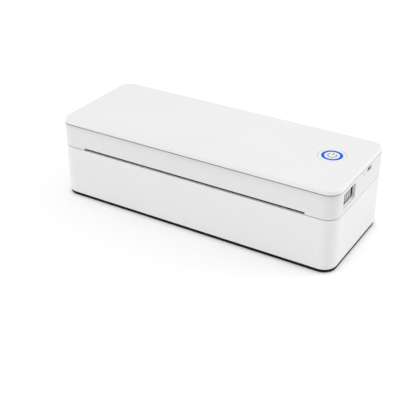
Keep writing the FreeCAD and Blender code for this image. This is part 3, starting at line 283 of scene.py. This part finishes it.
# soft rubber: dull, with a coarser skin; the roller also shows fine grinding rings
def softRubber(kit):
    mat, tree, shader = newFinish(kit["name"])
    where = realCoords(tree)
    tone = toneOf(tree, noiseOf(tree, where, kit["driftScale"]), kit)
    tree.links.new(tone, shader.inputs["Base Color"])
    skin = noiseOf(tree, realCoords(tree, kit["stretch"]), kit["skinScale"], detail=4.0, rough=0.65)
    tree.links.new(spanOf(tree, skin, *kit["roughness"]), shader.inputs["Roughness"])
    bumpInto(tree, shader, skin, kit["skinStrength"], kit["skinDepth"])
    shader.inputs["Specular IOR Level"].default_value = kit["specular"]
    dress(mat, kit["nodes"])


rubberFeet = {
    "name": "footRubber", "nodes": ["rubber_feet"],
    "dark": (0.022, 0.022, 0.023), "light": (0.036, 0.036, 0.037),
    "driftScale": 80.0, "stretch": (1, 1, 1), "skinScale": 1600.0, "roughness": (0.72, 0.90),
    "skinStrength": 0.35, "skinDepth": 0.0001, "specular": 0.35,
}
rollerRubber = {
    "name": "groundRollerRubber", "nodes": ["platen_rubber"],
    "dark": (0.020, 0.021, 0.023), "light": (0.030, 0.031, 0.034),
    "driftScale": 25.0, "stretch": (1, 0.04, 0.04), "skinScale": 2600.0, "roughness": (0.52, 0.70),
    "skinStrength": 0.22, "skinDepth": 0.00006, "specular": 0.4,
}
for kit in (rubberFeet, rollerRubber):
    softRubber(kit)
print("rubbers done")


# bare metals: streaks run along the way the metal was rolled, drawn or turned
def streakedMetal(kit):
    mat, tree, shader = newFinish(kit["name"])
    where = realCoords(tree, kit["stretch"])
    streaks = noiseOf(tree, where, kit["streakScale"], detail=4.0, rough=0.6)
    tree.links.new(toneOf(tree, streaks, kit), shader.inputs["Base Color"])
    tree.links.new(spanOf(tree, streaks, *kit["roughness"]), shader.inputs["Roughness"])
    bumpInto(tree, shader, streaks, kit["streakStrength"], kit["streakDepth"])
    shader.inputs["Metallic"].default_value = 1.0
    dress(mat, kit["nodes"])


rolledSteel = {
    "name": "rolledSheetSteel",
    "nodes": ["head_frame", "drive_frame", "platen_bracket_left", "platen_bracket_right", "tear_bar"],
    "dark": (0.50, 0.50, 0.51), "light": (0.60, 0.60, 0.61), "stretch": (1, 0.05, 1), "streakScale": 1500.0,
    "roughness": (0.26, 0.42), "streakStrength": 0.10, "streakDepth": 0.00005,
}
turnedSteel = {
    "name": "turnedSteel",
    "nodes": ["hinge_pins", "platen_shaft", "gear_post", "motor_shaft", "head_springs", "latch_springs"],
    "dark": (0.55, 0.55, 0.56), "light": (0.66, 0.66, 0.67), "stretch": (1, 0.08, 0.08),
    "streakScale": 2500.0, "roughness": (0.18, 0.30), "streakStrength": 0.06, "streakDepth": 0.00004,
}
portSteel = {
    "name": "platedPortSteel", "nodes": ["port_shell"],
    "dark": (0.40, 0.40, 0.41), "light": (0.48, 0.48, 0.49), "stretch": (0.1, 1, 1), "streakScale": 3500.0,
    "roughness": (0.24, 0.36), "streakStrength": 0.05, "streakDepth": 0.00003,
}
screwSteel = {
    "name": "darkScrewSteel",
    "nodes": ["base_screws", "bracket_screws", "pinion_screw", "top_screws", "frame_screws", "board_screws",
              "motor_screws"],
    "dark": (0.20, 0.20, 0.21), "light": (0.30, 0.30, 0.31), "stretch": (1, 1, 0.2), "streakScale": 1800.0,
    "roughness": (0.30, 0.46), "streakStrength": 0.10, "streakDepth": 0.00004,
}
cutBrass = {
    "name": "cutBrass", "nodes": ["motor_pinion"],
    "dark": (0.60, 0.42, 0.15), "light": (0.72, 0.53, 0.22), "stretch": (0.1, 1, 1), "streakScale": 3000.0,
    "roughness": (0.20, 0.34), "streakStrength": 0.08, "streakDepth": 0.00004,
}
motorCan = {
    "name": "platedMotorCan", "nodes": ["motor"],
    "dark": (0.45, 0.45, 0.46), "light": (0.54, 0.54, 0.55), "stretch": (1, 0.1, 0.1), "streakScale": 1400.0,
    "roughness": (0.30, 0.44), "streakStrength": 0.05, "streakDepth": 0.00004,
}
extrudedSink = {
    "name": "extrudedAluminium", "nodes": ["heat_sink"],
    "dark": (0.62, 0.63, 0.64), "light": (0.72, 0.73, 0.74), "stretch": (0.03, 1, 1), "streakScale": 1600.0,
    "roughness": (0.30, 0.46), "streakStrength": 0.14, "streakDepth": 0.00006,
}
for kit in (rolledSteel, turnedSteel, portSteel, screwSteel, cutBrass, motorCan, extrudedSink):
    streakedMetal(kit)
print("metals done")

# coil springs: copies of the CAD coils, which ride on the lid in place of them
springKits = [
    {"name": "headCoils", "node": "head_springs", "joint": "head_pivot", "axis": (0, 0, 1), "keep": 0.885},
    {"name": "latchCoils", "node": "latch_springs", "joint": "latch_slide", "axis": (0, 1, 0), "keep": 0.72},
]


def buildSprings(kit):
    coils = bpy.data.objects.new(kit["name"], nodes[kit["node"]].data.copy())
    scene.collection.objects.link(coils)
    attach(coils, "lid")
    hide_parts(kit["node"])
    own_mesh(coils)


for kit in springKits:
    buildSprings(kit)
print("springs done")

# left front corner of the upper case: a strip in the wall, where the room for the drive cuts its rounding
cornerKit = {
    "radius": 0.0120, "wall": 0.0025, "low": 0.0500, "high": 0.0668, "steps": 12,
    "edge": 0.00025, "edgeSteps": 4,
}


def buildCornerStrip(kit):
    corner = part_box("upper_case")[0]
    centreX, centreY = corner.x + kit["radius"], corner.y + kit["radius"]
    inner = kit["radius"] - kit["wall"]
    quarter = math.pi / 2
    bm = bmesh.new()

    def arc(radius, start, end, z):
        angles = [start + (end - start) * i / kit["steps"] for i in range(kit["steps"] + 1)]
        return [(centreX - radius * math.cos(angle), centreY - radius * math.sin(angle), z)
                for angle in angles]

    def ring(radius, z):
        start = math.acos(inner / radius)  # where the arc meets the room's flat sides
        corners = arc(radius, start, quarter - start, z) + arc(inner, quarter, 0, z)
        return [bm.verts.new(corner) for corner in corners]

    rings = []
    for i in range(kit["edgeSteps"] + 1):
        turn = quarter * i / kit["edgeSteps"]
        rings.append(ring(kit["radius"] - kit["edge"] * (1 - math.sin(turn)),
                          kit["low"] + kit["edge"] * (1 - math.cos(turn))))
    rings.append(ring(kit["radius"], kit["high"]))
    for low, high in zip(rings, rings[1:]):
        for i in range(len(low)):
            bm.faces.new([low[i - 1], low[i], high[i], high[i - 1]])
    for end in (rings[0], rings[-1]):
        bm.faces.new(end)
    strip = pieceFrom(bm, "cornerStrip")
    strip.data.materials.append(nodes["upper_case"].data.materials[0])
    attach(strip, "lid")


buildCornerStrip(cornerKit)
print("corner strip done")


# glazed strip of the print head: pale ceramic with the brown line of heaters along its front
headGlaze = {
    "name": "glazedHeadCeramic", "nodes": ["head_strip"], "lineFrom": -0.0380, "lineTo": -0.0364,
    "line": (0.10, 0.055, 0.03), "dark": (0.72, 0.69, 0.61), "light": (0.78, 0.76, 0.69),
    "toneScale": 90.0, "glossScale": 300.0, "roughness": (0.10, 0.20),
}


def glazedCeramic(kit):
    mat, tree, shader = newFinish(kit["name"])
    where = realCoords(tree)
    tone = toneOf(tree, noiseOf(tree, where, kit["toneScale"]), kit)
    mix = addNode(tree, "ShaderNodeMix", data_type="RGBA")
    inLine = bandOf(tree, axisOf(tree, where, "Y"), kit["lineFrom"], kit["lineTo"])
    tree.links.new(inLine, mix.inputs["Factor"])
    tree.links.new(tone, mix.inputs[mixSockets["first"]])
    mix.inputs[mixSockets["second"]].default_value = (*kit["line"], 1)
    tree.links.new(mix.outputs[mixSockets["result"]], shader.inputs["Base Color"])
    gloss = spanOf(tree, noiseOf(tree, where, kit["glossScale"]), *kit["roughness"])
    tree.links.new(gloss, shader.inputs["Roughness"])
    dress(mat, kit["nodes"])


glazedCeramic(headGlaze)


# circuit boards: green mask over raised copper runs
boardGreen = {
    "name": "greenSolderMask", "nodes": ["main_board", "driver_board"],
    "mask": (0.010, 0.110, 0.045), "copper": (0.020, 0.175, 0.070),
    "pitch": 260.0, "gap": 0.03, "gapBlur": 0.2, "length": 1.7, "width": 0.34,
    "glossScale": 500.0, "roughness": (0.20, 0.32), "runStrength": 0.3, "runDepth": 0.00003,
}


def circuitBoard(kit):
    mat, tree, shader = newFinish(kit["name"])
    where = realCoords(tree)
    runs = addNode(tree, "ShaderNodeTexBrick", {
        "Scale": kit["pitch"], "Mortar Size": kit["gap"], "Mortar Smooth": kit["gapBlur"],
        "Brick Width": kit["length"], "Row Height": kit["width"],
    })
    runs.inputs["Color1"].default_value = (*kit["mask"], 1)
    runs.inputs["Color2"].default_value = (*kit["mask"], 1)
    runs.inputs["Mortar"].default_value = (*kit["copper"], 1)
    tree.links.new(where, runs.inputs["Vector"])
    tree.links.new(runs.outputs["Color"], shader.inputs["Base Color"])
    gloss = spanOf(tree, noiseOf(tree, where, kit["glossScale"]), *kit["roughness"])
    tree.links.new(gloss, shader.inputs["Roughness"])
    bumpInto(tree, shader, runs.outputs["Fac"], kit["runStrength"], kit["runDepth"])
    dress(mat, kit["nodes"])


circuitBoard(boardGreen)

# shrink film round the cells, with soft creases
batteryFilm = {
    "name": "blueShrinkFilm", "nodes": ["battery"],
    "dark": (0.020, 0.075, 0.230), "light": (0.030, 0.100, 0.290), "roughness": (0.16, 0.30),
    "stretch": (1, 0.35, 1), "creaseScale": 55.0, "creaseStrength": 0.35, "creaseDepth": 0.0004,
}


def shrinkFilm(kit):
    mat, tree, shader = newFinish(kit["name"])
    where = realCoords(tree, kit["stretch"])
    creases = noiseOf(tree, where, kit["creaseScale"], detail=5.0, rough=0.6)
    tree.links.new(toneOf(tree, creases, kit), shader.inputs["Base Color"])
    tree.links.new(spanOf(tree, creases, *kit["roughness"]), shader.inputs["Roughness"])
    bumpInto(tree, shader, creases, kit["creaseStrength"], kit["creaseDepth"])
    dress(mat, kit["nodes"])


shrinkFilm(batteryFilm)

# flat cable: pale film with the conductors showing through as fine stripes along it
flatCable = {
    "name": "stripedFlatCable", "nodes": ["head_cable"],
    "film": (0.70, 0.70, 0.67), "copper": (0.46, 0.42, 0.36), "glossScale": 400.0, "roughness": (0.30, 0.42),
    "stripes": 320.0, "stripeEdges": (0.45, 0.6), "stripeStrength": 0.25, "stripeDepth": 0.00005,
}


def stripedFilm(kit):
    mat, tree, shader = newFinish(kit["name"])
    where = realCoords(tree)
    wave = addNode(tree, "ShaderNodeTexWave", {"Scale": kit["stripes"]}, bands_direction="X")
    tree.links.new(where, wave.inputs["Vector"])
    tone = rampOf(tree, wave.outputs["Fac"], zip(kit["stripeEdges"], (kit["film"], kit["copper"])))
    tree.links.new(tone, shader.inputs["Base Color"])
    gloss = spanOf(tree, noiseOf(tree, where, kit["glossScale"]), *kit["roughness"])
    tree.links.new(gloss, shader.inputs["Roughness"])
    bumpInto(tree, shader, wave.outputs["Fac"], kit["stripeStrength"], kit["stripeDepth"])
    dress(mat, kit["nodes"])


stripedFilm(flatCable)
print("boards, battery and cable done")

# lit ring in the button, a little uneven in its glow
ringLight = {
    "name": "blueRingLight", "nodes": ["light_ring"], "body": (0.002, 0.030, 0.25),
    "glowLow": (0.002, 0.095, 0.45), "glowHigh": (0.008, 0.145, 0.61), "strength": 1.0, "roughness": 0.50,
    "specular": 0.03, "spreadScale": 140.0,
}


def litRing(kit):
    mat, tree, shader = newFinish(kit["name"])
    spread = noiseOf(tree, realCoords(tree), kit["spreadScale"], detail=1.0)
    glow = rampOf(tree, spread, [(driftLow, kit["glowLow"]), (driftHigh, kit["glowHigh"])])
    tree.links.new(glow, shader.inputs["Emission Color"])
    shader.inputs["Emission Strength"].default_value = kit["strength"]
    shader.inputs["Base Color"].default_value = (*kit["body"], 1)
    shader.inputs["Roughness"].default_value = kit["roughness"]
    shader.inputs["Specular IOR Level"].default_value = kit["specular"]
    dress(mat, kit["nodes"])


litRing(ringLight)

# frosted clear peg of the charge light
lightPeg = {
    "name": "frostedLightPeg", "nodes": ["charge_light"],
    "tint": (0.52, 0.53, 0.55), "roughness": (0.25, 0.5), "clear": 0.55, "ior": 1.49,
    "frostScale": 2500.0, "frostStrength": 0.2, "frostDepth": 0.00004,
}


def frostedPeg(kit):
    mat, tree, shader = newFinish(kit["name"])
    frost = noiseOf(tree, realCoords(tree), kit["frostScale"])
    tree.links.new(spanOf(tree, frost, *kit["roughness"]), shader.inputs["Roughness"])
    bumpInto(tree, shader, frost, kit["frostStrength"], kit["frostDepth"])
    shader.inputs["Base Color"].default_value = (*kit["tint"], 1)
    shader.inputs["Transmission Weight"].default_value = kit["clear"]
    shader.inputs["IOR"].default_value = kit["ior"]
    dress(mat, kit["nodes"])


frostedPeg(lightPeg)
print("lights done")

# power mark printed on the button: an open ring and a bar, laid on the cap
powerMark = {
    "radius": 0.0036, "stroke": 0.0009, "gapDegrees": 76, "barTop": 0.0046, "barLow": 0.0004, "steps": 48,
    "lift": 0.00003, "dark": (0.150, 0.155, 0.165), "light": (0.190, 0.195, 0.205),
    "speckScale": 2200.0, "speckStrength": 0.1, "speckDepth": 0.00002, "roughness": (0.45, 0.60),
}


def inkFinish(kit):
    mat, tree, shader = newFinish("greyMarkInk")
    specks = noiseOf(tree, realCoords(tree), kit["speckScale"], rough=0.6)
    tree.links.new(toneOf(tree, specks, kit), shader.inputs["Base Color"])
    tree.links.new(spanOf(tree, specks, *kit["roughness"]), shader.inputs["Roughness"])
    bumpInto(tree, shader, specks, kit["speckStrength"], kit["speckDepth"])
    return mat


def buildPowerMark(kit):
    low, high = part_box("power_button")
    centre = (low + high) / 2
    top = high.z
    bm = bmesh.new()

    def plate(outline):
        corners = [(centre.x + x, centre.y + y, top - kit["lift"]) for x, y in outline]
        face = bm.faces.new([bm.verts.new(corner) for corner in corners])
        grown = bmesh.ops.extrude_face_region(bm, geom=[face])
        for item in grown["geom"]:
            if isinstance(item, bmesh.types.BMVert):
                item.co.z = top + kit["lift"]

    half = kit["stroke"] / 2
    start = math.radians(90 + kit["gapDegrees"] / 2)
    sweep = math.radians(360 - kit["gapDegrees"])
    angles = [start + sweep * i / kit["steps"] for i in range(kit["steps"] + 1)]

    def arc(radius):
        return [(radius * math.cos(angle), radius * math.sin(angle)) for angle in angles]

    plate(arc(kit["radius"] + half) + arc(kit["radius"] - half)[::-1])
    plate([(-half, kit["barLow"]), (half, kit["barLow"]), (half, kit["barTop"]), (-half, kit["barTop"])])
    mark = pieceFrom(bm, "powerMark")
    mark.data.materials.append(inkFinish(kit))
    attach(mark, "button")


buildPowerMark(powerMark)
print("power mark done")

# floor: pale, with the picture's white added for rays that reach the eye, and more of it far from the lamps
floorKit = {
    "size": 4.0, "drop": 0.0001, "colour": (0.85, 0.85, 0.85),
    "white": 0.18, "farWhite": 0.36, "near": 0.5, "far": 1.4,
}


def buildFloor(kit):
    bpy.ops.mesh.primitive_plane_add(size=kit["size"], location=(0, 0, -kit["drop"]))
    floor = bpy.context.object
    floor.name = "floor"
    mat = bpy.data.materials.new("paleFloor")
    mat.use_nodes = True
    tree = mat.node_tree
    tree.nodes.clear()
    out = addNode(tree, "ShaderNodeOutputMaterial")
    paint = addNode(tree, "ShaderNodeBsdfDiffuse", {"Color": (*kit["colour"], 1)})
    white = addNode(tree, "ShaderNodeEmission")
    reach = addNode(tree, "ShaderNodeVectorMath", operation="LENGTH")
    tree.links.new(realCoords(tree), reach.inputs[0])
    lift = spanOf(tree, reach.outputs["Value"], kit["white"], kit["farWhite"], kit["near"], kit["far"])
    tree.links.new(mathOf(tree, "MULTIPLY", seenRays(tree), lift), white.inputs["Strength"])
    both = addNode(tree, "ShaderNodeAddShader")
    tree.links.new(paint.outputs["BSDF"], both.inputs[0])
    tree.links.new(white.outputs["Emission"], both.inputs[1])
    tree.links.new(both.outputs["Shader"], out.inputs["Surface"])
    floor.data.materials.append(mat)


buildFloor(floorKit)

# studio: a white room, one large soft lamp behind on the right, one at the front left and one overhead
roomKit = {"ambient": 0.82, "white": 1.0}
lampKits = [
    {"name": "rightLamp", "place": (1.25, 1.05, 0.80), "aim": (0.05, 0, 0.04), "size": 1.2, "power": 9.7},
    {"name": "frontLamp", "place": (-1.50, -1.45, 0.65), "aim": (0, 0, 0.04), "size": 1.4, "power": 11.2},
    {"name": "topLamp", "place": (-0.20, 0.30, 1.90), "aim": (0, 0, 0.07), "size": 1.8, "power": 3.3},
]


def buildRoom(kit):
    world = bpy.data.worlds.new("studio")
    scene.world = world
    world.use_nodes = True
    tree = world.node_tree
    background = tree.nodes["Background"]
    strength = spanOf(tree, seenRays(tree), kit["ambient"], kit["white"], 0.0, 1.0)
    tree.links.new(strength, background.inputs["Strength"])
    background.inputs["Color"].default_value = (1, 1, 1, 1)


def aimAt(obj, aim):
    to = Vector(aim) - obj.location
    obj.rotation_euler = to.to_track_quat("-Z", "Y").to_euler()


def buildLamp(kit):
    light = bpy.data.lights.new(kit["name"], "AREA")
    light.shape = "SQUARE"
    light.size = kit["size"]
    light.energy = kit["power"]
    lamp = bpy.data.objects.new(kit["name"], light)
    lamp.location = kit["place"]
    aimAt(lamp, kit["aim"])
    scene.collection.objects.link(lamp)


buildRoom(roomKit)
for kit in lampKits:
    buildLamp(kit)
print("studio done")

# camera fitted to the picture's edges: turn about the upright, tilt, and the lens on a 36 mm sensor
cameraKit = {
    "place": (0.34145, -0.58457, 0.39386), "turn": 31.094, "tilt": 30.420, "lens": 73.903, "sensor": 36,
    "clipStart": 0.01,
}


def buildCamera(kit):
    data = bpy.data.cameras.new("camera")
    data.lens = kit["lens"]
    data.sensor_width = kit["sensor"]
    data.clip_start = kit["clipStart"]
    camera = bpy.data.objects.new("camera", data)
    camera.location = kit["place"]
    camera.rotation_euler = (math.radians(90 - kit["tilt"]), 0, math.radians(kit["turn"]))
    scene.collection.objects.link(camera)
    scene.camera = camera


buildCamera(cameraKit)
print("camera done")
